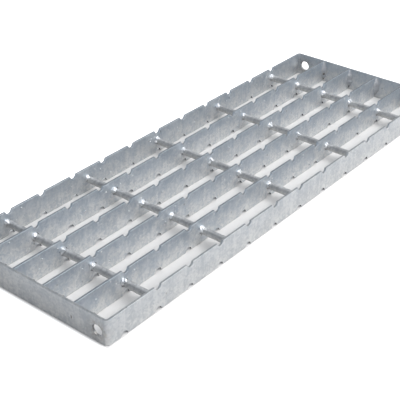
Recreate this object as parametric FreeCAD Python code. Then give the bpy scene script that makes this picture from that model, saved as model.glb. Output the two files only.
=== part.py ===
import math
import os

import FreeCAD
import Part

# Open-grid steel stair tread, hot-dip galvanised, in millimetres.
# X runs along the step, Y from the front edge to the rear edge and Z up.
# The origin is the middle of the underside.

# Overall size, over the outside of the frame
TREAD_LENGTH = 700.0
TREAD_DEPTH = 240.0

# Flat bar that the frame and the grid bars are cut from
BAR_HEIGHT = 33.0
BAR_THICKNESS = 3.0
BEND_INNER_RADIUS = 4.0
INNER_BAR_COUNT = 4

# Half-round notches along the edges of every long bar
TOP_NOTCH_COUNT = 11
TOP_NOTCH_END_MARGIN = 80.0
BOTTOM_NOTCH_COUNT = 13
NOTCH_RADIUS = 5.0
NOTCH_SIDES = 7

# Round rods that tie the bars together at mid-height
ROD_COUNT = 5
ROD_END_MARGIN = 77.5
ROD_DIAMETER = 9.5
ROD_HOLE_CLEARANCE = 0.15

# Bolt holes in the end plates
BOLT_HOLE_DIAMETER = 14.0
BOLT_HOLE_INSET = 14.5
BOLT_HOLE_HEIGHT = 15.0

# Weld beads
ROD_WELD_LEG = 3.5
ROD_WELD_MIDDLE_ANGLE = 135.0
ROD_WELD_SPREAD_ANGLE = 110.0
BAR_WELD_LEG = 3.5
BAR_WELD_TOP_GAP = 1.0
BAR_WELD_LENGTH = 17.0
CORNER_WELD_LEG = 4.0
CORNER_WELD_END_GAP = 2.0

# Sizes that follow from the ones above
HALF_LENGTH = TREAD_LENGTH / 2
HALF_DEPTH = TREAD_DEPTH / 2
INNER_HALF_LENGTH = HALF_LENGTH - BAR_THICKNESS
INNER_HALF_DEPTH = HALF_DEPTH - BAR_THICKNESS
BEND_OUTER_RADIUS = BEND_INNER_RADIUS + BAR_THICKNESS
BAR_PITCH = (TREAD_DEPTH - BAR_THICKNESS) / (INNER_BAR_COUNT + 1)
NOTCH_PITCH = (TREAD_LENGTH - 2 * TOP_NOTCH_END_MARGIN) / (TOP_NOTCH_COUNT - 1)
ROD_PITCH = (TREAD_LENGTH - 2 * ROD_END_MARGIN) / (ROD_COUNT - 1)
ROD_RADIUS = ROD_DIAMETER / 2
ROD_HEIGHT = BAR_HEIGHT / 2

# How far a cutter reaches past the face it enters
CUT_OVERRUN = 1.0

ALONG_X = FreeCAD.Vector(1, 0, 0)
ALONG_Y = FreeCAD.Vector(0, 1, 0)
ALONG_Z = FreeCAD.Vector(0, 0, 1)
ORIGIN = FreeCAD.Vector(0, 0, 0)


def point(x, y, z=0.0):
    return FreeCAD.Vector(x, y, z)


def line(start, end):
    return Part.LineSegment(start, end).toShape()


def arc(start, middle, end):
    return Part.Arc(start, middle, end).toShape()


def centred_row(count, pitch):
    """Places along X of an even row centred on the tread."""
    first = -pitch * (count - 1) / 2
    return [first + pitch * step for step in range(count)]


def inner_bar_middles():
    """Middle of each inner bar's thickness, from front to rear."""
    front_bar_middle = -HALF_DEPTH + BAR_THICKNESS / 2
    return [front_bar_middle + BAR_PITCH * step for step in range(1, INNER_BAR_COUNT + 1)]


# Rows that the bars, the rods and the welds share
TOP_NOTCHES = centred_row(TOP_NOTCH_COUNT, NOTCH_PITCH)
BOTTOM_NOTCHES = centred_row(BOTTOM_NOTCH_COUNT, NOTCH_PITCH)
RODS = centred_row(ROD_COUNT, ROD_PITCH)
INNER_BARS = inner_bar_middles()


def notch_cutter(x, height, front_face):
    """Prism through a bar's thickness: a ring of flats that leaves a half-round notch."""
    middle = point(x, front_face - CUT_OVERRUN, height)
    turns = [math.pi * step / NOTCH_SIDES for step in range(2 * NOTCH_SIDES)]
    corners = [middle + point(math.cos(turn), 0.0, math.sin(turn)) * NOTCH_RADIUS for turn in turns]
    outline = Part.makePolygon(corners + corners[:1])
    return Part.Face(outline).extrude(ALONG_Y * (BAR_THICKNESS + 2 * CUT_OVERRUN))


def notch_cutters(front_face):
    """Cutters for the top and bottom notches of the long bar whose front face is given."""
    top = [notch_cutter(x, BAR_HEIGHT, front_face) for x in TOP_NOTCHES]
    bottom = [notch_cutter(x, 0.0, front_face) for x in BOTTOM_NOTCHES]
    return top + bottom


def folded_strip_outline():
    """Plan of the front bar and the left end plate, one strip with one bend."""
    outside_x, outside_y = -HALF_LENGTH, -HALF_DEPTH
    inside_x, inside_y = -INNER_HALF_LENGTH, -INNER_HALF_DEPTH
    centre = point(outside_x + BEND_OUTER_RADIUS, outside_y + BEND_OUTER_RADIUS)
    diagonal = point(-math.sqrt(0.5), -math.sqrt(0.5))
    bar_end_outside = point(INNER_HALF_LENGTH, outside_y)
    bend_start_outside = point(centre.x, outside_y)
    bend_end_outside = point(outside_x, centre.y)
    plate_end_outside = point(outside_x, HALF_DEPTH)
    plate_end_inside = point(inside_x, HALF_DEPTH)
    bend_end_inside = point(inside_x, centre.y)
    bend_start_inside = point(centre.x, inside_y)
    bar_end_inside = point(INNER_HALF_LENGTH, inside_y)
    return Part.Wire([
        line(bar_end_outside, bend_start_outside),
        arc(bend_start_outside, centre + diagonal * BEND_OUTER_RADIUS, bend_end_outside),
        line(bend_end_outside, plate_end_outside),
        line(plate_end_outside, plate_end_inside),
        line(plate_end_inside, bend_end_inside),
        arc(bend_end_inside, centre + diagonal * BEND_INNER_RADIUS, bend_start_inside),
        line(bend_start_inside, bar_end_inside),
        line(bar_end_inside, bar_end_outside),
    ])


def bolt_hole_cutters():
    """Cylinders for the two bolt holes of the left end plate."""
    length = BAR_THICKNESS + 2 * CUT_OVERRUN
    start = -HALF_LENGTH - CUT_OVERRUN
    hole_y = HALF_DEPTH - BOLT_HOLE_INSET
    places = [point(start, side * hole_y, BOLT_HOLE_HEIGHT) for side in (-1, 1)]
    return [Part.makeCylinder(BOLT_HOLE_DIAMETER / 2, length, place, ALONG_X) for place in places]


def front_edge_strip():
    """Front bar and left end plate: a notched flat bar folded at the front left corner."""
    strip = Part.Face(folded_strip_outline()).extrude(ALONG_Z * BAR_HEIGHT)
    return strip.cut(notch_cutters(-HALF_DEPTH) + bolt_hole_cutters())


def rear_edge_strip():
    """Rear bar and right end plate: the same strip turned half round."""
    return front_edge_strip().rotated(ORIGIN, ALONG_Z, 180)


def inner_bar(middle):
    """Grid bar that runs from end plate to end plate, notched and pierced for the rods."""
    front_face = middle - BAR_THICKNESS / 2
    corner = point(-INNER_HALF_LENGTH, front_face)
    bar = Part.makeBox(2 * INNER_HALF_LENGTH, BAR_THICKNESS, BAR_HEIGHT, corner)
    radius = ROD_RADIUS + ROD_HOLE_CLEARANCE
    length = BAR_THICKNESS + 2 * CUT_OVERRUN
    places = [point(x, front_face - CUT_OVERRUN, ROD_HEIGHT) for x in RODS]
    rod_holes = [Part.makeCylinder(radius, length, place, ALONG_Y) for place in places]
    return bar.cut(notch_cutters(front_face) + rod_holes)


def cross_rod(x):
    """Round rod from the inside of the front bar, through the inner bars, to the rear bar."""
    front_end = point(x, -INNER_HALF_DEPTH, ROD_HEIGHT)
    return Part.makeCylinder(ROD_RADIUS, 2 * INNER_HALF_DEPTH, front_end, ALONG_Y)


def rod_bead(outward):
    """Fillet bead saddled on the upper left of a rod whose axis meets the bar face at the origin."""
    half_spread = math.radians(ROD_WELD_SPREAD_ANGLE / 2)
    half_length = ROD_RADIUS * math.sin(half_spread)
    inner = ROD_RADIUS * math.cos(half_spread)
    outer = ROD_RADIUS + ROD_WELD_LEG
    section = Part.makePolygon([
        point(inner, 0.0, -half_length),
        point(outer, 0.0, -half_length),
        point(inner, outward * (outer - inner), -half_length),
        point(inner, 0.0, -half_length),
    ])
    wedge = Part.Face(section).extrude(ALONG_Z * 2 * half_length)
    rod = Part.makeCylinder(ROD_RADIUS, 2 * outer, point(0, -outer), ALONG_Y)
    return wedge.cut(rod).rotated(ORIGIN, ALONG_Y, -ROD_WELD_MIDDLE_ANGLE)


def cross_rod_welds(x):
    """Beads that hold one rod to the front faces of the bars it meets and to the front bar."""
    front_faces = [middle - BAR_THICKNESS / 2 for middle in INNER_BARS] + [INNER_HALF_DEPTH]
    beads = [rod_bead(-1).translated(point(x, face, ROD_HEIGHT)) for face in front_faces]
    beads.append(rod_bead(1).translated(point(x, -INNER_HALF_DEPTH, ROD_HEIGHT)))
    return Part.makeCompound(beads)


def corner_bead(x, y, toward_x, toward_y, leg, bottom, top):
    """Upright fillet bead in the corner at x, y, with its legs towards the given sides."""
    section = Part.makePolygon([
        point(x, y, bottom),
        point(x + toward_x * leg, y, bottom),
        point(x, y + toward_y * leg, bottom),
        point(x, y, bottom),
    ])
    return Part.Face(section).extrude(ALONG_Z * (top - bottom))


def bar_end_welds(side):
    """Beads between the inner bars' front faces and one end plate, side -1 left or 1 right."""
    plate_face = side * INNER_HALF_LENGTH
    top = BAR_HEIGHT - BAR_WELD_TOP_GAP
    bottom = top - BAR_WELD_LENGTH
    front_faces = [middle - BAR_THICKNESS / 2 for middle in INNER_BARS]
    beads = [corner_bead(plate_face, face, -side, -1, BAR_WELD_LEG, bottom, top) for face in front_faces]
    return Part.makeCompound(beads)


def corner_weld(side):
    """Bead inside the corner where one strip's bar butts the other's plate, 1 front right."""
    bottom = CORNER_WELD_END_GAP
    top = BAR_HEIGHT - CORNER_WELD_END_GAP
    x, y = side * INNER_HALF_LENGTH, -side * INNER_HALF_DEPTH
    return corner_bead(x, y, -side, side, CORNER_WELD_LEG, bottom, top)


def tread_pieces():
    """Every piece of the tread by name."""
    pieces = {
        "front_edge_strip": front_edge_strip(),
        "rear_edge_strip": rear_edge_strip(),
    }
    for number, middle in enumerate(INNER_BARS, start=1):
        pieces[f"inner_bar_{number}"] = inner_bar(middle)
    for number, x in enumerate(RODS, start=1):
        pieces[f"cross_rod_{number}"] = cross_rod(x)
        pieces[f"cross_rod_welds_{number}"] = cross_rod_welds(x)
    pieces["left_bar_end_welds"] = bar_end_welds(-1)
    pieces["right_bar_end_welds"] = bar_end_welds(1)
    pieces["front_right_corner_weld"] = corner_weld(1)
    pieces["rear_left_corner_weld"] = corner_weld(-1)
    return pieces


def main():
    os.makedirs("parts", exist_ok=True)
    for name, shape in tread_pieces().items():
        shape.exportStep(f"parts/{name}.step")
        print(f"{name}: {len(shape.Solids)} solid(s), {shape.Volume:.0f} mm3, valid {shape.isValid()}")


main()
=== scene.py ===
# %% [markdown]
# A steel stair tread in Blender
#
# The tread is an open grid: six flat bars on edge, two end plates, five round rods through the
# bars, and welds, all dipped in molten zinc. The exact solids come from the CAD model, which is
# loaded first as a fixed frame. Everything that follows is laid over that frame, so each piece
# keeps the place and the main size of the solid that it stands for.

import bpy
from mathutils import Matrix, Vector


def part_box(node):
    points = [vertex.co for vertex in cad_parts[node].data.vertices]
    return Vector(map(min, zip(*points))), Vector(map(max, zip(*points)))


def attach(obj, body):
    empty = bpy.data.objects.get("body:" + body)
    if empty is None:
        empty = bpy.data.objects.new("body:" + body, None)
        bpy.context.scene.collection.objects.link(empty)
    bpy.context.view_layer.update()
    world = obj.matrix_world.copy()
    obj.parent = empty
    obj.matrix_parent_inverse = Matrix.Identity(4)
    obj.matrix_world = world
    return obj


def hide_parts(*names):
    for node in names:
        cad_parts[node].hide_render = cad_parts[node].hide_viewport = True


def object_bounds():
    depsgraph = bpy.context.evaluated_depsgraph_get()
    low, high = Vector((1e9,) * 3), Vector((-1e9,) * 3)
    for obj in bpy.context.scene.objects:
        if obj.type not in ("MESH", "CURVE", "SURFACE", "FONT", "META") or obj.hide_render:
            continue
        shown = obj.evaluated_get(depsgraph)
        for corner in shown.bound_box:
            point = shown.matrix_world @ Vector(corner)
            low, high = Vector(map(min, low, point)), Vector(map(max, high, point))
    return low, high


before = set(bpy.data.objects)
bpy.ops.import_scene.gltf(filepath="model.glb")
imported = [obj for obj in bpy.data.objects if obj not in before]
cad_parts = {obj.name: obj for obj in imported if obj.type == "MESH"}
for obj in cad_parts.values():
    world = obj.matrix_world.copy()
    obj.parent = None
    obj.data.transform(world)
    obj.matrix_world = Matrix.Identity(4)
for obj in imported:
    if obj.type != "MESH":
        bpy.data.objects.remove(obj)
cad_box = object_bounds()
print("frame:", len(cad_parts), "solids, box", cad_box)

# %% Tools used below
import math
import random

import bmesh
import bpy
from mathutils import Matrix, Vector, noise

scene = bpy.context.scene
scene.view_settings.view_transform = "Standard"
MM = 0.001
print("scene:", scene.name, "in", scene.view_settings.view_transform)

# %% [markdown]
# The camera stands to the left of the tread's front edge and looks down on it. Its place could be
# found by eye, by dragging it in the viewport. Here it is worked out from edges, notches and rods
# whose places on the tread are known, which gives a place, two angles, a small tilt and a lens.

# %% Camera
CAMERA_PLACE = Vector((-0.9038, -0.6869, 0.6606))
CAMERA_TURN = math.radians(51.14)
CAMERA_DIP = math.radians(31.48)
CAMERA_TILT = math.radians(-0.36)
CAMERA_LENS = 88.75
CAMERA_REACH = 100


def camera_axes(turn, dip, tilt):
    """Right, up and backward directions of a camera turned from +Y, dipped and tilted."""
    forward = Vector((math.sin(turn) * math.cos(dip), math.cos(turn) * math.cos(dip), -math.sin(dip)))
    level_right = Vector((math.cos(turn), -math.sin(turn), 0))
    level_up = level_right.cross(forward)
    right = level_right * math.cos(tilt) - level_up * math.sin(tilt)
    up = level_right * math.sin(tilt) + level_up * math.cos(tilt)
    return right, up, -forward


camera_data = bpy.data.cameras.new("camera")
camera_data.lens = CAMERA_LENS
camera_data.clip_end = CAMERA_REACH
camera = bpy.data.objects.new("camera", camera_data)
turned = Matrix(camera_axes(CAMERA_TURN, CAMERA_DIP, CAMERA_TILT)).transposed().to_4x4()
camera.matrix_world = Matrix.Translation(CAMERA_PLACE) @ turned
scene.collection.objects.link(camera)
scene.camera = camera
print("camera at", tuple(round(c, 3) for c in CAMERA_PLACE), "lens", CAMERA_LENS)

# %% [markdown]
# A finish in Blender is a small network of nodes. Writing every link by hand is long, so this
# helper makes one node, sets its plain sockets to numbers and joins the others to earlier nodes.


# %% Node helper
def add_node(tree, kind, sockets=None, **settings):
    """One node of a tree, with its settings, and its sockets set to values or joined to outputs."""
    made = tree.nodes.new(kind)
    for name, value in settings.items():
        setattr(made, name, value)
    for key, value in (sockets or {}).items():
        matches = [s for s in made.inputs if s.enabled and s.name == key]
        socket = matches[0] if matches else made.inputs[key]
        if isinstance(value, bpy.types.NodeSocket):
            tree.links.new(value, socket)
        else:
            socket.default_value = value
    return made


def output(made, name="Result"):
    """The output of that name that the node's settings use."""
    return next(s for s in made.outputs if s.enabled and s.name == name)


def new_finish(name):
    """An empty material and its node tree."""
    material = bpy.data.materials.new(name)
    material.use_nodes = True
    material.node_tree.nodes.clear()
    return material, material.node_tree


print("node helper ready")

# %% [markdown]
# The floor is a plain white sweep. Metal shows what is round it, so a floor matters as much here
# as a lamp: the upright faces mirror the strip of floor beside them. Under and beside the tread it
# is only pale paint, which keeps the shadow. Away from the tread it also glows for the camera and
# for mirror rays, as a sweep with its own lamps does, so the picture's background is white. It is
# clear from beneath, so the underside of the tread can be looked at too.

# %% Floor
FLOOR_HALF = 12.0
SEEN_GLOW = 0.9
SEEN_FADE = (0.0, 0.006)
MIRRORED_GLOW = 0.6
MIRRORED_FADE = (0.04, 0.20)
PAINT_GRAIN = 3.0
PAINT_DARK = (0.704, 0.686, 0.667, 1)
PAINT_PALE = (0.742, 0.724, 0.704, 1)
FLOOR_DROP = 0.2 * MM

floor_finish, tree = new_finish("white_sweep")
place = add_node(tree, "ShaderNodeTexCoord").outputs["Object"]
from_middle = add_node(tree, "ShaderNodeVectorMath", {0: place}, operation="ABSOLUTE")
past_edge = add_node(tree, "ShaderNodeVectorMath", {0: from_middle.outputs[0], 1: cad_box[1]},
                     operation="SUBTRACT")
outside = add_node(tree, "ShaderNodeVectorMath", {0: past_edge.outputs[0], 1: (0, 0, 0)},
                   operation="MAXIMUM")
beyond = add_node(tree, "ShaderNodeVectorMath", {0: outside.outputs[0]}, operation="LENGTH")
distance = beyond.outputs["Value"]
rays = add_node(tree, "ShaderNodeLightPath")
mirrored = add_node(tree, "ShaderNodeMath", {0: rays.outputs["Is Glossy Ray"],
                                             1: rays.outputs["Is Transmission Ray"]}, operation="MAXIMUM")
seen_fade = add_node(tree, "ShaderNodeMapRange", {"Value": distance, "From Min": SEEN_FADE[0],
                                                  "From Max": SEEN_FADE[1], "To Max": SEEN_GLOW},
                     interpolation_type="SMOOTHSTEP")
mirrored_fade = add_node(tree, "ShaderNodeMapRange", {"Value": distance, "From Min": MIRRORED_FADE[0],
                                                      "From Max": MIRRORED_FADE[1], "To Max": MIRRORED_GLOW},
                         interpolation_type="SMOOTHSTEP")
seen_glow = add_node(tree, "ShaderNodeMath", {0: rays.outputs["Is Camera Ray"],
                                              1: seen_fade.outputs["Result"]}, operation="MULTIPLY")
glow = add_node(tree, "ShaderNodeMath", {0: mirrored.outputs[0], 1: mirrored_fade.outputs["Result"],
                                         2: seen_glow.outputs[0]}, operation="MULTIPLY_ADD")
grain = add_node(tree, "ShaderNodeTexNoise", {"Vector": place, "Scale": PAINT_GRAIN})
paint = add_node(tree, "ShaderNodeMix", {"Factor": grain.outputs["Fac"], "A": PAINT_DARK, "B": PAINT_PALE},
                 data_type="RGBA")
matt = add_node(tree, "ShaderNodeBsdfDiffuse", {"Color": output(paint)})
lit = add_node(tree, "ShaderNodeEmission", {"Color": (1, 1, 1, 1), "Strength": glow.outputs[0]})
both = add_node(tree, "ShaderNodeAddShader", {0: matt.outputs[0], 1: lit.outputs[0]})
beneath = add_node(tree, "ShaderNodeNewGeometry").outputs["Backfacing"]
clear = add_node(tree, "ShaderNodeBsdfTransparent")
one_sided = add_node(tree, "ShaderNodeMixShader", {0: beneath, 1: both.outputs[0], 2: clear.outputs[0]})
add_node(tree, "ShaderNodeOutputMaterial", {"Surface": one_sided.outputs[0]})

floor_mesh = bpy.data.meshes.new("floor")
corners = [(-FLOOR_HALF, -FLOOR_HALF, 0), (FLOOR_HALF, -FLOOR_HALF, 0),
           (FLOOR_HALF, FLOOR_HALF, 0), (-FLOOR_HALF, FLOOR_HALF, 0)]
floor_mesh.from_pydata(corners, [], [(0, 1, 2, 3)])
floor_mesh.materials.append(floor_finish)
floor = bpy.data.objects.new("floor", floor_mesh)
floor.location.z = cad_box[0][2] - FLOOR_DROP
scene.collection.objects.link(floor)
print("floor:", 2 * FLOOR_HALF, "m square")

# %% [markdown]
# The light is one wide soft lamp at the front right, in a dim room. The strip of floor along the
# front edge is lit and the strip along the left end lies in soft shadow, so the front bar looks
# pale and the left plate darker. Behind each bar the floor is in shade, which shows through the
# notches below. Faces that point up mirror the dim room behind the tread, which is pale only near
# the horizon.

# %% Light
LAMPS = {
    "key": dict(place=(0.30, -1.50, 1.70), aim=(0, 0, 0), size=2.8, watts=86),
}
for lamp_name, plan in LAMPS.items():
    lamp_data = bpy.data.lights.new(lamp_name, "AREA")
    lamp_data.size = plan["size"]
    lamp_data.energy = plan["watts"]
    lamp = bpy.data.objects.new(lamp_name, lamp_data)
    lamp.location = plan["place"]
    toward = Vector(plan["aim"]) - lamp.location
    lamp.rotation_euler = toward.to_track_quat("-Z", "Y").to_euler()
    scene.collection.objects.link(lamp)

HORIZON_TONE = (0.85, 0.85, 0.86, 1)
HORIZON_TO = 0.05
ROOM_TONE = (0.325, 0.365, 0.42, 1)
ROOM_FROM = 0.35
room = bpy.data.worlds.new("room")
room.use_nodes = True
tree = room.node_tree
tree.nodes.clear()
place = add_node(tree, "ShaderNodeTexCoord")
split = add_node(tree, "ShaderNodeSeparateXYZ", {0: place.outputs["Generated"]})
ramp = add_node(tree, "ShaderNodeValToRGB", {"Fac": split.outputs["Z"]})
ramp.color_ramp.elements[0].color = HORIZON_TONE
ramp.color_ramp.elements[0].position = HORIZON_TO
ramp.color_ramp.elements[1].color = ROOM_TONE
ramp.color_ramp.elements[1].position = ROOM_FROM
back = add_node(tree, "ShaderNodeBackground", {"Color": ramp.outputs["Color"], "Strength": 1.0})
add_node(tree, "ShaderNodeOutputWorld", {"Surface": back.outputs[0]})
scene.world = room
print("lamps:", list(LAMPS))

# %% [markdown]
# Zinc from a hot dip is grey and cloudy, with fine crystals and faint upright streaks where the
# molten metal ran off. A photograph of zinc could be wrapped round the bars, but it would repeat
# and smear. Procedural noise has no seams, so three noises of different grain are mixed. With the
# streaks the mix later steers the colour and a slight bump, and without them the roughness.

# %% Zinc tone
CLOUD_SCALE = 70.0
CRYSTAL_SCALE = 420.0
CRYSTAL_SHARE = 0.3
RUN_SCALE = (230, 230, 11)
RUN_SHARE = 0.3


def zinc_tone(tree, place):
    """Cloudiness, crystals and run-off streaks as two numbers: without the streaks and with them."""
    clouds = add_node(tree, "ShaderNodeTexNoise", {"Vector": place, "Scale": CLOUD_SCALE, "Detail": 5.0,
                                                   "Roughness": 0.55})
    cells = add_node(tree, "ShaderNodeTexVoronoi", {"Vector": place, "Scale": CRYSTAL_SCALE,
                                                    "Randomness": 1.0})
    cell_tone = add_node(tree, "ShaderNodeSeparateColor", {0: cells.outputs["Color"]})
    stretch = add_node(tree, "ShaderNodeMapping", {"Vector": place, "Scale": RUN_SCALE})
    runs = add_node(tree, "ShaderNodeTexNoise", {"Vector": stretch.outputs[0], "Scale": 1.0, "Detail": 3.0})
    crystals = add_node(tree, "ShaderNodeMix", {"Factor": CRYSTAL_SHARE, "A": clouds.outputs["Fac"],
                                                "B": cell_tone.outputs[0]}, data_type="FLOAT")
    streaks = add_node(tree, "ShaderNodeMix", {"Factor": RUN_SHARE, "A": output(crystals),
                                               "B": runs.outputs["Fac"]}, data_type="FLOAT")
    return output(crystals), output(streaks)


print("zinc tone: crystals", CRYSTAL_SHARE, "and streaks", RUN_SHARE, "of their mixes")

# %% [markdown]
# Light and shade are also painted into the coat by the direction of each face. Faces that point up get a
# painted warm tint, and painted shade that makes them darker on the inner bars and the rods. Faces and edges
# that point down get dark painted shade, which also darkens the walls of the lower notches. Such places could
# be painted by hand, but here the direction of each face picks its shade from a ramp, which works for every
# piece. A few dark flecks are scattered over the bars and the rods.

# %% Painted shade by facing, and flecks
# Painted shade for a face by its direction, from 0 straight down through 0.5 upright to 1 straight up
BAR_PAINTED_SHADE = {0.0: 0.55, 0.05: 0.55, 0.12: 0.21, 0.28: 0.24, 0.43: 1.0, 0.8: 1.0, 0.97: 0.68}
STRIP_PAINTED_SHADE = {**BAR_PAINTED_SHADE, 0.97: 0.95}
REAR_PAINTED_SHADE = {**BAR_PAINTED_SHADE, 0.97: 1.0}
ROD_PAINTED_SHADE = {0.0: 1.0, 0.5: 1.0, 0.7: 0.84, 0.88: 0.64, 1.0: 0.58}
PAINTED_TINT_FROM = 0.9
PAINTED_TOP_TINT = (1.0, 0.97, 0.925)
PLAIN_TINT = (1.0, 1.0, 1.0)
FLECK_SCALE = 46.0
FLECK_CORE = 0.035
FLECK_EDGE = 0.075
FLECK_SHARE = 0.45
FLECK_TONE = (0.23, 0.215, 0.20, 1)


def painted_shade_and_flecks(tree, place, colour, shades):
    """The colour with painted shade where the surface faces up or down, a painted warm tint where it faces
    up, and scattered dark flecks.
    """
    facing = add_node(tree, "ShaderNodeSeparateXYZ",
                      {0: add_node(tree, "ShaderNodeNewGeometry").outputs["True Normal"]})
    share = add_node(tree, "ShaderNodeMapRange", {"Value": facing.outputs["Z"], "From Min": -1.0})
    shade = add_node(tree, "ShaderNodeValToRGB", {"Fac": share.outputs["Result"]})
    ends = shade.color_ramp.elements
    for position, grey in shades.items():
        tint = PAINTED_TOP_TINT if position > PAINTED_TINT_FROM else PLAIN_TINT
        ends.new(position).color = (*(grey * channel for channel in tint), 1)
    ends[0].color = ends[1].color
    ends[-1].color = ends[-2].color
    facing_shaded = add_node(tree, "ShaderNodeMix", {"Factor": 1.0, "A": colour, "B": shade.outputs["Color"]},
                     data_type="RGBA", blend_type="MULTIPLY")
    spots = add_node(tree, "ShaderNodeTexVoronoi", {"Vector": place, "Scale": FLECK_SCALE})
    fleck = add_node(tree, "ShaderNodeMapRange", {"Value": spots.outputs["Distance"], "From Min": FLECK_CORE,
                                                  "From Max": FLECK_EDGE, "To Min": FLECK_SHARE,
                                                  "To Max": 0.0})
    return output(add_node(tree, "ShaderNodeMix", {"Factor": fleck.outputs["Result"], "A": output(facing_shaded),
                                                   "B": FLECK_TONE}, data_type="RGBA"))


print("facing_shade: shades at", len(BAR_PAINTED_SHADE), "directions on bars and", len(ROD_PAINTED_SHADE), "on rods")

# %% [markdown]
# The bars also get painted shade by height: paler low down, and a little blue and dark near the top, as a
# painted reflection of the shaded floor and dim room that the upper part of a face mirrors. A plain ramp by
# height would end in a straight line, so noise makes its border ragged.

# %% Painted shade toward the tops
RAGGED_SCALE = 75.0
RAGGED_REACH = 56 * MM
TOP_SHADE_FROM = 37 * MM
TOP_SHADE_FULL = 56 * MM
TOP_SHADE_TONE = (0.37, 0.445, 0.53, 1)


def painted_shade_on(tree, place, colour, top_shade):
    """The colour turned bluer and darker toward the top, as painted shade and reflection."""
    height = add_node(tree, "ShaderNodeSeparateXYZ", {0: place})
    ragged = add_node(tree, "ShaderNodeTexNoise", {"Vector": place, "Scale": RAGGED_SCALE, "Detail": 6.0,
                                                   "Roughness": 0.68})
    level = add_node(tree, "ShaderNodeMath", {0: ragged.outputs["Fac"], 1: RAGGED_REACH,
                                              2: height.outputs["Z"]}, operation="MULTIPLY_ADD")
    shade_share = add_node(tree, "ShaderNodeMapRange", {"Value": level.outputs[0], "From Min": TOP_SHADE_FROM,
                                                 "From Max": TOP_SHADE_FULL, "To Max": top_shade})
    return output(add_node(tree, "ShaderNodeMix", {"Factor": shade_share.outputs["Result"], "A": colour,
                                                   "B": TOP_SHADE_TONE}, data_type="RGBA"))


print("drained tops: ragged over", round(RAGGED_REACH / MM), "mm")

# %% [markdown]
# Ash from the bath dries to a dark, patchy crust round the bolt holes and leaves a thin warm film on
# the rest of the end plates. It could be painted on an unwrapped plate. Here the distance to a hole
# sets how much ash there is. Taking the place without its signs folds the tread onto one quarter,
# so one hole's place serves all four.

# %% Ash on the end plates
BOLT_HOLE_INSET = 14.5 * MM
BOLT_HOLE_HEIGHT = 15 * MM
HOLE_MARK = (cad_box[1][0], cad_box[1][1] - BOLT_HOLE_INSET, BOLT_HOLE_HEIGHT)
ASH_TONE = (0.30, 0.28, 0.26, 1)
CRUST_FULL = 9 * MM
CRUST_END = 19 * MM
CRUST_SCALE = 330.0
CRUST_NOISE = (0.4, 0.66)
CRUST_SHARE = (0.12, 0.7)
PLATES_FROM = cad_box[1][0] - 5.5 * MM
PLATES_FULL = cad_box[1][0] - 3.2 * MM
PLATE_ASH = 0.03


def ashen(tree, place, colour):
    """The colour with a film of warm ash on the end plates, dark and patchy round their bolt holes."""
    folded = add_node(tree, "ShaderNodeVectorMath", {0: place}, operation="ABSOLUTE")
    away = add_node(tree, "ShaderNodeVectorMath", {0: folded.outputs[0], 1: HOLE_MARK}, operation="DISTANCE")
    near = add_node(tree, "ShaderNodeMapRange", {"Value": away.outputs["Value"], "From Min": CRUST_FULL,
                                                 "From Max": CRUST_END, "To Min": 1.0, "To Max": 0.0})
    crust = add_node(tree, "ShaderNodeTexNoise", {"Vector": place, "Scale": CRUST_SCALE, "Detail": 4.0})
    patchy = add_node(tree, "ShaderNodeMapRange", {"Value": crust.outputs["Fac"], "From Min": CRUST_NOISE[0],
                                                   "From Max": CRUST_NOISE[1], "To Min": CRUST_SHARE[0],
                                                   "To Max": CRUST_SHARE[1]})
    crusted = add_node(tree, "ShaderNodeMath", {0: near.outputs["Result"], 1: patchy.outputs["Result"]},
                       operation="MULTIPLY")
    from_middle = add_node(tree, "ShaderNodeSeparateXYZ", {0: folded.outputs[0]})
    film = add_node(tree, "ShaderNodeMapRange", {"Value": from_middle.outputs["X"], "From Min": PLATES_FROM,
                                                 "From Max": PLATES_FULL, "To Max": PLATE_ASH})
    share = add_node(tree, "ShaderNodeMath", {0: crusted.outputs[0], 1: film.outputs["Result"]},
                     operation="MAXIMUM")
    return output(add_node(tree, "ShaderNodeMix", {"Factor": share.outputs[0], "A": colour, "B": ASH_TONE},
                           data_type="RGBA"))


print("ash: out to", round(CRUST_END / MM), "mm from the middle of a bolt hole")

# %% [markdown]
# All of this meets in one finish. The tone picks a colour between dark, middle and pale zinc, the painted
# shade, the ash and the flecks are laid over it, and the tone also makes the metal more or less rough. One
# material could serve the whole tread, but bars, rods and welds take up zinc differently, so each kind of
# piece gets its own tones. The inner bars, the front strip and the rear strip are the same zinc, and their
# tones are set paler or darker per piece as painted light and shade.

# %% Zinc finish
TONE_PLACES = (0.38, 0.5, 0.62)
ROUGH_NOISE = (0.25, 0.75)
BUMP_STRENGTH = 0.25
BUMP_HEIGHT = 0.8 * MM


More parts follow.
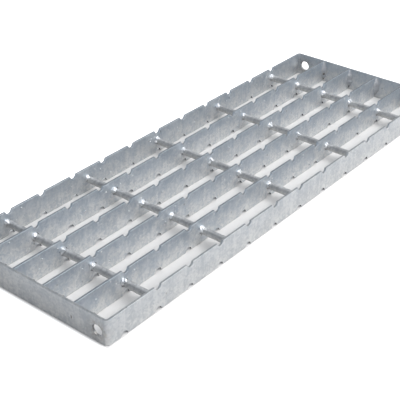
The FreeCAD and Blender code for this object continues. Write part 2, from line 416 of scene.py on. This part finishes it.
def zinc_finish(name, tones, roughness, metal, shades=None, top_shade=0, spread=0.07, ash=False):
    """Hot-dip zinc with a dark, a middle and a pale tone."""
    material, tree = new_finish(name)
    place = add_node(tree, "ShaderNodeTexCoord").outputs["Object"]
    tone, streaked = zinc_tone(tree, place)
    ramp = add_node(tree, "ShaderNodeValToRGB", {"Fac": streaked})
    ramp.color_ramp.elements[0].position = TONE_PLACES[0]
    ramp.color_ramp.elements[0].color = (*tones[0], 1)
    ramp.color_ramp.elements[1].position = TONE_PLACES[2]
    ramp.color_ramp.elements[1].color = (*tones[2], 1)
    middle = ramp.color_ramp.elements.new(TONE_PLACES[1])
    middle.color = (*tones[1], 1)
    rough = add_node(tree, "ShaderNodeMapRange", {"Value": tone, "From Min": ROUGH_NOISE[0],
                                                  "From Max": ROUGH_NOISE[1], "To Min": roughness - spread,
                                                  "To Max": roughness + spread})
    height = add_node(tree, "ShaderNodeBump", {"Height": streaked, "Strength": BUMP_STRENGTH,
                                               "Distance": BUMP_HEIGHT})
    # Painted shade toward the top and painted shade by facing are laid over the zinc tone here
    colour = painted_shade_on(tree, place, ramp.outputs["Color"], top_shade) if top_shade else ramp.outputs["Color"]
    if ash:
        colour = ashen(tree, place, colour)
    if shades:
        colour = painted_shade_and_flecks(tree, place, colour, shades)
    surface = add_node(tree, "ShaderNodeBsdfPrincipled", {"Base Color": colour, "Metallic": metal,
                                                          "Roughness": rough.outputs["Result"],
                                                          "Normal": height.outputs["Normal"]})
    add_node(tree, "ShaderNodeOutputMaterial", {"Surface": surface.outputs[0]})
    return material


# The strip, inner-bar and rear-strip tones are one zinc, set paler or darker per piece as painted light and
# shade
STRIP_TONES = [(0.446, 0.464, 0.482), (0.529, 0.54, 0.548), (0.611, 0.616, 0.613)]
ROD_TONES = [(0.48, 0.475, 0.47), (0.575, 0.57, 0.56), (0.67, 0.665, 0.65)]
WELD_TONES = [(0.55, 0.575, 0.60), (0.65, 0.665, 0.68), (0.74, 0.745, 0.75)]
SEAM_TONES = [(0.33, 0.345, 0.37), (0.37, 0.38, 0.40), (0.41, 0.415, 0.42)]
INNER_TONES = [(0.55, 0.58, 0.61), (0.668, 0.678, 0.683), (0.765, 0.768, 0.765)]
REAR_TONES = [(0.49, 0.52, 0.55), (0.595, 0.606, 0.612), (0.68, 0.683, 0.68)]
STRIP_FINISH = zinc_finish("zinc_on_strips", STRIP_TONES, roughness=0.46, metal=0.8, shades=STRIP_PAINTED_SHADE,
                           top_shade=0.15, ash=True)
INNER_FINISH = zinc_finish("zinc_on_inner_bars", INNER_TONES, roughness=0.46, metal=0.8, shades=BAR_PAINTED_SHADE,
                           top_shade=0.52)
REAR_FINISH = zinc_finish("zinc_on_rear_strip", REAR_TONES, roughness=0.46, metal=0.8, shades=REAR_PAINTED_SHADE,
                          top_shade=0.4, ash=True)
ROD_FINISH = zinc_finish("zinc_on_rods", ROD_TONES, roughness=0.52, metal=0.7, shades=ROD_PAINTED_SHADE)
WELD_FINISH = zinc_finish("zinc_on_welds", WELD_TONES, roughness=0.42, metal=0.75, spread=0.2)
SEAM_FINISH = zinc_finish("zinc_on_seams", SEAM_TONES, roughness=0.62, metal=0.3)
finishes = [STRIP_FINISH, INNER_FINISH, REAR_FINISH, ROD_FINISH, WELD_FINISH, SEAM_FINISH]
print("finishes:", [finish.name for finish in finishes])

# %% [markdown]
# Every long bar has half-round notches along its top and bottom edges. A bar could be cut with a
# boolean for each notch, which leaves ragged faces. Here the outline is drawn once as a closed
# line that already has the notches, as a punch and a guillotine would leave it, and is then given
# a thickness. The mouth of each notch is eased, because zinc never leaves a sharp corner. The row
# below starts one notch further left than the row on top.

# %% Notched edge
bar_low, bar_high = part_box("inner_bar_1")
BAR_HEIGHT = bar_high.z
BAR_THICKNESS = bar_high.y - bar_low.y
NOTCH_PITCH = 54 * MM
# Places along the tread, as steps of the pitch from its middle
TOP_NOTCHES = [NOTCH_PITCH * step for step in range(-5, 6)]
BOTTOM_NOTCHES = [NOTCH_PITCH * step for step in range(-6, 6)]
NOTCH_RADIUS = 5 * MM
MOUTH_RADIUS = 0.6 * MM
MOUTH_STEPS = 4
END_RADIUS = 0.6 * MM
NOTCH_STEPS = 16


def arc_points(middle, radius, start, end, steps):
    """Points along an arc in the bar's own plane, from one angle to another."""
    angles = [math.radians(start + (end - start) * step / steps) for step in range(steps + 1)]
    return [Vector((middle[0] + radius * math.cos(a), middle[1] + radius * math.sin(a))) for a in angles]


def notched_top(places):
    """Points along a top edge, from left to right, that dip into a half-round at each place."""
    reach = math.sqrt(NOTCH_RADIUS ** 2 + 2 * NOTCH_RADIUS * MOUTH_RADIUS)
    lean = math.degrees(math.asin(MOUTH_RADIUS / (NOTCH_RADIUS + MOUTH_RADIUS)))
    mouth = BAR_HEIGHT - MOUTH_RADIUS
    points = []
    for place in places:
        points += arc_points((place - reach, mouth), MOUTH_RADIUS, 90, lean, MOUTH_STEPS)
        points += arc_points((place, BAR_HEIGHT), NOTCH_RADIUS, 180 + lean, 360 - lean, NOTCH_STEPS)[1:-1]
        points += arc_points((place + reach, mouth), MOUTH_RADIUS, 180 - lean, 90, MOUTH_STEPS)
    return points


def bar_outline(left, right, bottom_notches):
    """The closed outline of a notched bar between two ends, anticlockwise, as (length, height) points."""
    top = notched_top(TOP_NOTCHES)
    bottom = [Vector((p.x, BAR_HEIGHT - p.y)) for p in notched_top(bottom_notches)]
    low, high = END_RADIUS, BAR_HEIGHT - END_RADIUS
    lower_left = arc_points((left + END_RADIUS, low), END_RADIUS, 180, 270, MOUTH_STEPS)
    lower_right = arc_points((right - END_RADIUS, low), END_RADIUS, 270, 360, MOUTH_STEPS)
    upper_right = arc_points((right - END_RADIUS, high), END_RADIUS, 0, 90, MOUTH_STEPS)
    upper_left = arc_points((left + END_RADIUS, high), END_RADIUS, 90, 180, MOUTH_STEPS)
    return lower_left + bottom + lower_right + upper_right + top[::-1] + upper_left


pitch_mm = round(NOTCH_PITCH / MM, 1)
print("notches:", len(TOP_NOTCHES), "on top and", len(BOTTOM_NOTCHES), "below, pitch", pitch_mm, "mm")

# %% [markdown]
# An outline becomes a plate with rounded rims: the same loop is repeated through the thickness, a
# little smaller near each face. The bevel modifier does this too, but it stumbles where a small
# notch meets a long edge. The two flat faces are filled with triangles, which also leaves any
# holes open.

# %% Plate with rounded rims
RIM_RADIUS = 0.35 * MM
RIM_STEPS = 3
MITRE_LIMIT = 0.4
FLAT_FACE_WEIGHT = 60


def loop_normals(loop):
    """Directions that point out of the metal along a loop: anticlockwise outside, clockwise for a hole."""
    normals = []
    for index, point in enumerate(loop):
        before = (point - loop[index - 1]).normalized()
        after = (loop[(index + 1) % len(loop)] - point).normalized()
        along = before + after
        out = Vector((along.y, -along.x)).normalized()
        spread = max(MITRE_LIMIT, out.dot(Vector((after.y, -after.x))))
        normals.append(out / spread)
    return normals


def rim_stations():
    """Pairs of depth into the thickness and inset from the outline, from the front face to the back."""
    turns = [math.pi / 2 * step / RIM_STEPS for step in range(RIM_STEPS + 1)]
    front = [(RIM_RADIUS * (1 - math.cos(turn)), RIM_RADIUS * (1 - math.sin(turn))) for turn in turns]
    return front + [(BAR_THICKNESS - depth, inset) for depth, inset in reversed(front)]


def rounded_plate(loops):
    """A plate from closed loops, the first the outside and the rest holes, as (length, depth, height)."""
    mesh = bmesh.new()
    faces = {0: [], -1: []}
    for loop in loops:
        normals = loop_normals(loop)
        rings = []
        for depth, inset in rim_stations():
            flat = [point - normal * inset for point, normal in zip(loop, normals)]
            rings.append([mesh.verts.new((p.x, depth, p.y)) for p in flat])
        for ring, following in zip(rings, rings[1:]):
            for index in range(len(loop)):
                after = (index + 1) % len(loop)
                mesh.faces.new((ring[index], ring[after], following[after], following[index]))
        for side in faces:
            ring = rings[side]
            pairs = [(ring[index], ring[(index + 1) % len(ring)]) for index in range(len(ring))]
            faces[side] += [mesh.edges.get(pair) for pair in pairs]
    for edges in faces.values():
        bmesh.ops.triangle_fill(mesh, edges=edges, use_beauty=True)
    bmesh.ops.recalc_face_normals(mesh, faces=mesh.faces[:])
    return mesh


def finish_piece(name, mesh, finish, nodes):
    """A smooth piece from a built mesh that rides on the tread and stands for its CAD nodes, if any."""
    data = bpy.data.meshes.new(name)
    mesh.to_mesh(data)
    mesh.free()
    data.materials.append(finish)
    for face in data.polygons:
        face.use_smooth = True
    piece = bpy.data.objects.new(name, data)
    scene.collection.objects.link(piece)
    even = piece.modifiers.new("even_shading", "WEIGHTED_NORMAL")
    even.weight = FLAT_FACE_WEIGHT
    if nodes:
        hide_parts(*nodes)
    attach(piece, "root")
    return piece


print("rims rounded by", round(RIM_RADIUS / MM, 2), "mm")

# %% [markdown]
# The four inner bars run from end plate to end plate, with a punched hole for each rod. A punch
# leaves a little air round the rod, which shows as a thin dark ring where no weld covers it. The
# bars are all the same plate, so one function is called four times, each time at the depth where
# the frame has that bar.

# %% Inner bars
ROD_NUMBERS = range(1, 6)
BAR_NUMBERS = range(1, 5)
ROD_BOXES = [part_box(f"cross_rod_{number}") for number in ROD_NUMBERS]
RODS = [(low + high) / 2 for low, high in ROD_BOXES]
ROD_RADIUS = (ROD_BOXES[0][1].x - ROD_BOXES[0][0].x) / 2
ROD_AIR = 0.6 * MM
HOLE_STEPS = 32

rod_holes = []
for middle in RODS:
    ring = arc_points((middle.x, middle.z), ROD_RADIUS + ROD_AIR, 360, 0, HOLE_STEPS)
    rod_holes.append(ring[:-1])
for number in BAR_NUMBERS:
    node_name = f"inner_bar_{number}"
    low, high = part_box(node_name)
    plate = rounded_plate([bar_outline(low.x, high.x, BOTTOM_NOTCHES), *rod_holes])
    bmesh.ops.translate(plate, verts=plate.verts, vec=(0, low.y, 0))
    bar = finish_piece(f"grid_bar_{number}", plate, INNER_FINISH, [node_name])
    print(bar.name, len(bar.data.polygons), "faces")

# %% [markdown]
# The front bar and the left end plate are one strip with a bend, and so are the rear bar and the
# right end plate. A maker cuts and punches the strip flat and folds it last, and the same order
# works here: the flat plate gets extra cuts across the bend, and then every point beyond the bend
# is turned round the bend's centre. The rear strip is made the same way and turned half round. Its
# lower notches are mirrored first, so that after the turn they line up with those of the other bars.

# %% Folded strips
strip_low, strip_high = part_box("front_edge_strip")
BEND_OUTER = 5 * MM
BEND_MIDDLE = BEND_OUTER - BAR_THICKNESS / 2
BEND_LENGTH = BEND_MIDDLE * math.pi / 2
BEND_CUTS = 12
CUT_TOLERANCE = 1e-7
BOLT_HOLE_RADIUS = 7 * MM
BOLT_HOLE_STEPS = 48
BEND_X = strip_low.x + BEND_OUTER
BEND_Y = strip_low.y + BEND_OUTER


def fold(point):
    """Where a point of the flat strip goes when the strip is folded at its left end."""
    past = BEND_X - point.x
    if past <= 0:
        return Vector((point.x, strip_low.y + point.y, point.z))
    if past < BEND_LENGTH:
        turn = past / BEND_MIDDLE
        radius = BEND_OUTER - point.y
        return Vector((BEND_X - radius * math.sin(turn), BEND_Y - radius * math.cos(turn), point.z))
    return Vector((strip_low.x + point.y, BEND_Y + past - BEND_LENGTH, point.z))


def flat_place(y):
    """Length along the flat strip of a place on the end plate."""
    return BEND_X - BEND_LENGTH - (y - BEND_Y)


def folded_strip(bottom_notches):
    """The strip that makes the front bar and the left end plate."""
    hole_row = [strip_low.y + BOLT_HOLE_INSET, strip_high.y - BOLT_HOLE_INSET]
    holes = []
    for y in hole_row:
        ring = arc_points((flat_place(y), BOLT_HOLE_HEIGHT), BOLT_HOLE_RADIUS, 360, 0, BOLT_HOLE_STEPS)
        holes.append(ring[:-1])
    plate = rounded_plate([bar_outline(flat_place(strip_high.y), strip_high.x, bottom_notches), *holes])
    for cut in range(BEND_CUTS + 1):
        everything = plate.verts[:] + plate.edges[:] + plate.faces[:]
        across = (BEND_X - BEND_LENGTH * cut / BEND_CUTS, 0, 0)
        bmesh.ops.bisect_plane(plate, geom=everything, plane_co=across, plane_no=(1, 0, 0),
                               dist=CUT_TOLERANCE)
    for vert in plate.verts:
        vert.co = fold(vert.co)
    return plate


front_plate = folded_strip(BOTTOM_NOTCHES)
front_strip = finish_piece("front_strip", front_plate, STRIP_FINISH, ["front_edge_strip"])
rear_plate = folded_strip([-place for place in reversed(BOTTOM_NOTCHES)])
half_turn = Matrix.Rotation(math.pi, 3, "Z")
bmesh.ops.rotate(rear_plate, verts=rear_plate.verts, cent=(0, 0, 0), matrix=half_turn)
rear_strip = finish_piece("rear_strip", rear_plate, REAR_FINISH, ["rear_edge_strip"])
for strip in (front_strip, rear_strip):
    print(strip.name, len(strip.data.polygons), "faces")

# %% [markdown]
# A bead, a rod and a run of zinc are all one shape in a different size: a row of cross-sections
# joined side by side. This loft takes the sections as lists of points, with the same count in
# each, joins neighbours with four-sided faces and closes both ends.


# %% Loft
def loft(mesh, sections):
    """Closed tube through a row of cross-sections, added to a mesh."""
    rings = [[mesh.verts.new(point) for point in section] for section in sections]
    count = len(rings[0])
    for ring, following in zip(rings, rings[1:]):
        for index in range(count):
            after = (index + 1) % count
            mesh.faces.new((ring[index], ring[after], following[after], following[index]))
    mesh.faces.new(rings[0])
    mesh.faces.new(rings[-1])


def close_up(mesh):
    """The same mesh with every face turned outward."""
    bmesh.ops.recalc_face_normals(mesh, faces=mesh.faces[:])
    return mesh


print("loft ready")

# %% [markdown]
# The rods are drawn round bar. A perfect cylinder looks like plastic tube, because zinc runs and
# sets a little unevenly on a rod. So each section's radius wanders by up to a tenth of a millimetre
# either way, steered by smooth noise that gives the same rod every time.

# %% Rods
ROD_SIDES = 36
ROD_SECTIONS = 90
ROD_WANDER = 0.10 * MM
ROD_NOISE_APART = 40
ROD_NOISE_ALONG = 110


def rod_section(axis, y):
    """Ring of points round a rod at one depth, with the zinc's unevenness."""
    points = []
    for side in range(ROD_SIDES):
        turn = 2 * math.pi * side / ROD_SIDES
        out = Vector((math.cos(turn), 0, math.sin(turn)))
        bump = noise.noise(Vector((axis.x * ROD_NOISE_APART + out.x, y * ROD_NOISE_ALONG, out.z)))
        points.append(Vector((axis.x, y, axis.z)) + out * (ROD_RADIUS - ROD_WANDER + ROD_WANDER * bump))
    return points


for number, (low, high) in enumerate(ROD_BOXES, start=1):
    depths = [low.y + (high.y - low.y) * step / ROD_SECTIONS for step in range(ROD_SECTIONS + 1)]
    rod_mesh = bmesh.new()
    loft(rod_mesh, [rod_section(RODS[number - 1], y) for y in depths])
    finish_piece(f"tie_rod_{number}", close_up(rod_mesh), ROD_FINISH,
                 [f"cross_rod_{number}"])
print("rods:", len(RODS), "radius", round(ROD_RADIUS / MM, 2), "mm")

# %% [markdown]
# Where a rod meets the front face of a bar it is held by a short bead of weld at its upper left,
# under a thick bright blob of zinc. Metaballs could make such blobs, but they don't follow the
# rod. Here a rounded slope is swept round the rod; it swells in the middle, thins at both ends,
# and noise makes every bead a little different.

# %% Rod welds
ROD_BEAD_FACE_LEG = 3.1 * MM
ROD_BEAD_ROD_LEG = 3.9 * MM
ROD_BEAD_FROM = 66
ROD_BEAD_TO = 192
ROD_BEAD_STEPS = 24
BEAD_ARC_STEPS = 9
ROD_BEAD_BOW = 1.3
BEAD_SINK = 0.9 * MM
ROD_BEAD_LUMPS = 0.35
ROD_BEAD_TAPER = 0.45
ROD_BEAD_THINNEST = 0.1
ROD_BEAD_UNEVEN = 0.7
ROD_BEAD_NOISE = (31, 47, 2.3)
LUMP_NOISE = 420


def bead_section(corner, first, second, first_leg, second_leg, lumps, bow):
    """Section of a bead in a corner: hidden points and a lumpy slope, full if bow is below 2, else hollow."""
    points = [corner - first * BEAD_SINK - second * BEAD_SINK]
    points.append(corner + first * first_leg - second * BEAD_SINK)
    for step in range(BEAD_ARC_STEPS + 1):
        turn = math.pi / 2 * step / BEAD_ARC_STEPS
        along_first = first * math.cos(turn) ** bow * first_leg
        along_second = second * math.sin(turn) ** bow * second_leg
        lump = 1 + lumps * noise.noise((corner + along_first + along_second) * LUMP_NOISE)
        points.append(corner + (along_first + along_second) * lump)
    points.append(corner + second * second_leg - first * BEAD_SINK)
    return points


def rod_bead(mesh, axis, face_y, outward):
    """Bead round the upper left of a rod, against the bar face at the given depth."""
    sections = []
    for step in range(ROD_BEAD_STEPS + 1):
        share = step / ROD_BEAD_STEPS
        turn = math.radians(ROD_BEAD_FROM + (ROD_BEAD_TO - ROD_BEAD_FROM) * share)
        radial = Vector((math.cos(turn), 0, math.sin(turn)))
        swell = max(ROD_BEAD_THINNEST, math.sin(math.pi * share) ** ROD_BEAD_TAPER)
        spot = (axis.x * ROD_BEAD_NOISE[0], face_y * ROD_BEAD_NOISE[1], share * ROD_BEAD_NOISE[2])
        size = swell * (1 + ROD_BEAD_UNEVEN * noise.noise(Vector(spot)))
        corner = Vector((axis.x, face_y, axis.z)) + radial * ROD_RADIUS
        outward_side = Vector((0, outward, 0))
        face_leg = ROD_BEAD_FACE_LEG * size
        rod_leg = ROD_BEAD_ROD_LEG * size
        sections.append(bead_section(corner, radial, outward_side, face_leg, rod_leg, ROD_BEAD_LUMPS,
                                     ROD_BEAD_BOW))
    loft(mesh, sections)


FRONT_FACES = [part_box(f"inner_bar_{number}")[0].y for number in BAR_NUMBERS]
FRONT_FACES.append(strip_high.y - BAR_THICKNESS)
for number, axis in enumerate(RODS, start=1):
    bead_mesh = bmesh.new()
    for face_y in FRONT_FACES:
        rod_bead(bead_mesh, axis, face_y, -1)
    rod_bead(bead_mesh, axis, strip_low.y + BAR_THICKNESS, 1)
    finish_piece(f"rod_beads_{number}", close_up(bead_mesh), WELD_FINISH,
                 [f"cross_rod_welds_{number}"])
print("rod beads:", len(RODS) * (len(FRONT_FACES) + 1))

# %% [markdown]
# The inner bars are welded to the end plates with upright beads, and the two open corners of the
# frame with one bead inside each. The same slope is swept straight up here, but hollow, as the zinc
# runs together in an upright corner, with the small ripples that the welder's hand leaves.

# %% Upright welds
UPRIGHT_BEAD_STEP = 0.5 * MM
RIPPLE_PITCH = 2.4 * MM
SEAM_LUMPS = 0.08
SEAM_BOW = 2.6
SEAM_END_SLOPE = 3
SEAM_TAPER = 0.5
SEAM_THINNEST = 0.15
SEAM_RIPPLE = 0.05
SEAM_UNEVEN = 0.25
SEAM_NOISE = (23, 61, 190)


def seam_leg(corner, leg, bottom, top, z):
    """Leg of an upright bead at one height: thin at both ends, with ripples."""
    share = (z - bottom) / (top - bottom)
    fullness = max(0, min(1, SEAM_END_SLOPE * share, SEAM_END_SLOPE * (1 - share)))
    ripple = 1 + SEAM_RIPPLE * math.sin(2 * math.pi * z / RIPPLE_PITCH)
    spot = (corner.x * SEAM_NOISE[0], corner.y * SEAM_NOISE[1], z * SEAM_NOISE[2])
    uneven = 1 + SEAM_UNEVEN * noise.noise(Vector(spot))
    return leg * max(SEAM_THINNEST, fullness ** SEAM_TAPER) * ripple * uneven


def upright_bead(mesh, corner, first, second, leg, bottom, top):
    """Bead up a corner between two faces."""
    steps = round((top - bottom) / UPRIGHT_BEAD_STEP)
    sections = []
    for step in range(steps + 1):
        z = bottom + (top - bottom) * step / steps
        size = seam_leg(corner, leg, bottom, top, z)
        here = Vector((corner.x, corner.y, z))
        sections.append(bead_section(here, first, second, size, size, SEAM_LUMPS, SEAM_BOW))
    loft(mesh, sections)


BAR_BEAD_LEG = 6 * MM
BAR_BEAD_FOOT = 3 * MM
for side_name, side in (("left", -1), ("right", 1)):
    node_name = f"{side_name}_bar_end_welds"
    bead_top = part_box(node_name)[1].z
    plate_x = side * strip_high.x
    bead_mesh = bmesh.new()
    for face_y in FRONT_FACES[:-1]:
        corner = Vector((plate_x, face_y, 0))
        upright_bead(bead_mesh, corner, Vector((-side, 0, 0)), Vector((0, -1, 0)), BAR_BEAD_LEG,
                     BAR_BEAD_FOOT, bead_top)
    finish_piece(f"{side_name}_bar_beads", close_up(bead_mesh), SEAM_FINISH, [node_name])

CORNER_BEAD_LEG = 6 * MM
for node_name, side in (("front_right_corner_weld", 1), ("rear_left_corner_weld", -1)):
    low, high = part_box(node_name)
    bead_mesh = bmesh.new()
    corner = Vector((high.x, low.y, 0)) if side > 0 else Vector((low.x, high.y, 0))
    upright_bead(bead_mesh, corner, Vector((-side, 0, 0)), Vector((0, side, 0)), CORNER_BEAD_LEG,
                 low.z, high.z)
    finish_piece(node_name.replace("weld", "bead"), close_up(bead_mesh), SEAM_FINISH,
                 [node_name])
print("upright beads: 8 at the bars, 2 at the corners")

# %% [markdown]
# Where drops of zinc froze on the way out of the bath, small pimples are left on the faces, most
# of them near the rods. A particle system could scatter them, but a seeded random number gives the
# same places every time and lets them keep clear of the notches.

# %% Zinc specks
SPECK_COUNT = 320
SPECK_RINGS = 4
SPECK_SIDES = 12
SPECK_SINK = 0.1 * MM
SPECK_CROWN = 0.4
SPECK_SIZES = (0.4, 1.4)
SPECK_RISE = 0.5
SPECK_SPREAD = 28 * MM
SPECK_LOW = 5 * MM
SPECK_TOP_GAP = 3 * MM
SPECK_END = 338 * MM
SPECK_CLEAR = 2.5 * MM
SPECK_SEED = 11
chance = random.Random(SPECK_SEED)


def speck(mesh, middle, outward, radius, height):
    """Low dome on an upright face."""
    sideways = Vector((0, 0, 1)).cross(outward)
    sections = []
    for ring in range(SPECK_RINGS + 1):
        rise = math.pi / 2 * ring / (SPECK_RINGS + SPECK_CROWN)
        centre = middle + outward * (height * math.sin(rise) - SPECK_SINK)
        points = []
        for side in range(SPECK_SIDES):
            turn = 2 * math.pi * side / SPECK_SIDES
            reach = radius * math.cos(rise)
            upward = Vector((0, 0, reach * math.sin(turn)))
            points.append(centre + sideways * (reach * math.cos(turn)) + upward)
        sections.append(points)
    loft(mesh, sections)


def clear_of_notches(x, z):
    """Whether a place on a bar's face is well away from every notch and rod."""
    spots = [(place, BAR_HEIGHT, NOTCH_RADIUS) for place in TOP_NOTCHES]
    spots += [(place, 0, NOTCH_RADIUS) for place in BOTTOM_NOTCHES]
    spots += [(rod.x, rod.z, ROD_RADIUS) for rod in RODS]
    return all(math.hypot(x - spot[0], z - spot[1]) > spot[2] + SPECK_CLEAR for spot in spots)


speck_mesh = bmesh.new()
made_specks = 0
while made_specks < SPECK_COUNT:
    x = chance.choice(RODS).x + chance.gauss(0, SPECK_SPREAD)
    z = chance.uniform(SPECK_LOW, BAR_HEIGHT - SPECK_TOP_GAP)
    face_y = chance.choice(FRONT_FACES)
    if abs(x) < SPECK_END and clear_of_notches(x, z):
        size = chance.uniform(*SPECK_SIZES) * MM
        speck(speck_mesh, Vector((x, face_y, z)), Vector((0, -1, 0)), size, size * SPECK_RISE)
        made_specks += 1
finish_piece("zinc_specks", close_up(speck_mesh), WELD_FINISH, [])
print("specks:", made_specks)

# %% [markdown]
# One short dark nick on the left plate shows where the strip was knocked after the bath. It could be
# carved into the plate, but it is too shallow to see as a dent. So it is a thin dark lens laid on
# the face, narrow at both ends and bent a little.

# %% Nick
NICK_PLACE = Vector((strip_low.x, -67.8 * MM, 14 * MM))
NICK_HALF_LENGTH = 2.6 * MM
NICK_HALF_WIDTH = 0.7 * MM
NICK_LIFT = 0.12 * MM
NICK_STEPS = 8
NICK_TIP = 0.5
NICK_BEND = 0.3
NICK_BENDS = 3
NICK_SHOULDER = 0.7
NICK_TONES = [(0.05, 0.045, 0.04), (0.09, 0.08, 0.07), (0.14, 0.12, 0.10)]
NICK_FINISH = zinc_finish("bruised_zinc", NICK_TONES, roughness=0.7, metal=0.2)

nick_sections = []
for step in range(-NICK_STEPS, NICK_STEPS + 1):
    share = step / (NICK_STEPS + NICK_TIP)
    width = NICK_HALF_WIDTH * math.sqrt(1 - share * share)
    aside = NICK_BEND * NICK_HALF_WIDTH * math.sin(NICK_BENDS * share)
    middle = NICK_PLACE + Vector((0, aside, NICK_HALF_LENGTH * share))
    shoulder = width * NICK_SHOULDER
    corners = [(SPECK_SINK, width), (-NICK_LIFT / 2, shoulder), (-NICK_LIFT, 0),
               (-NICK_LIFT / 2, -shoulder), (SPECK_SINK, -width)]
    nick_sections.append([middle + Vector((x, y, 0)) for x, y in corners])
nick_mesh = bmesh.new()
loft(nick_mesh, nick_sections)
finish_piece("plate_nick", close_up(nick_mesh), NICK_FINISH, [])
print("nick:", round(2 * NICK_HALF_LENGTH / MM, 1), "mm long")

# %% [markdown]
# Low down on an end weld the bath leaves small spots of dark ash. They could be drawn in the weld's
# finish, but each one stands up a little, so it is a low dome, as a speck is, set on the hollow of
# the bead.

# %% Ash spots
# Number of the bar, height and radius of each spot
ASH_SPOTS = [(4, 12.5 * MM, 1.7 * MM), (4, 4.0 * MM, 1.4 * MM), (3, 5.0 * MM, 1.6 * MM)]
ASH_LIFT = 0.5 * MM
HOLLOW = math.cos(math.pi / 4) ** SEAM_BOW

ash_mesh = bmesh.new()
for bar_number, height, radius in ASH_SPOTS:
    corner = Vector((strip_high.x, FRONT_FACES[bar_number - 1], height))
    depth = HOLLOW * seam_leg(corner, BAR_BEAD_LEG, BAR_BEAD_FOOT, bead_top, height)
    speck(ash_mesh, corner - Vector((depth, depth, 0)), Vector((-1, -1, 0)).normalized(), radius, ASH_LIFT)
finish_piece("ash_spots", close_up(ash_mesh), NICK_FINISH, [])
print("ash spots:", len(ASH_SPOTS))

# %% [markdown]
# Every piece was laid over the frame, so the finished model keeps nearly the size of the solids.

# %% The end
print("the end")
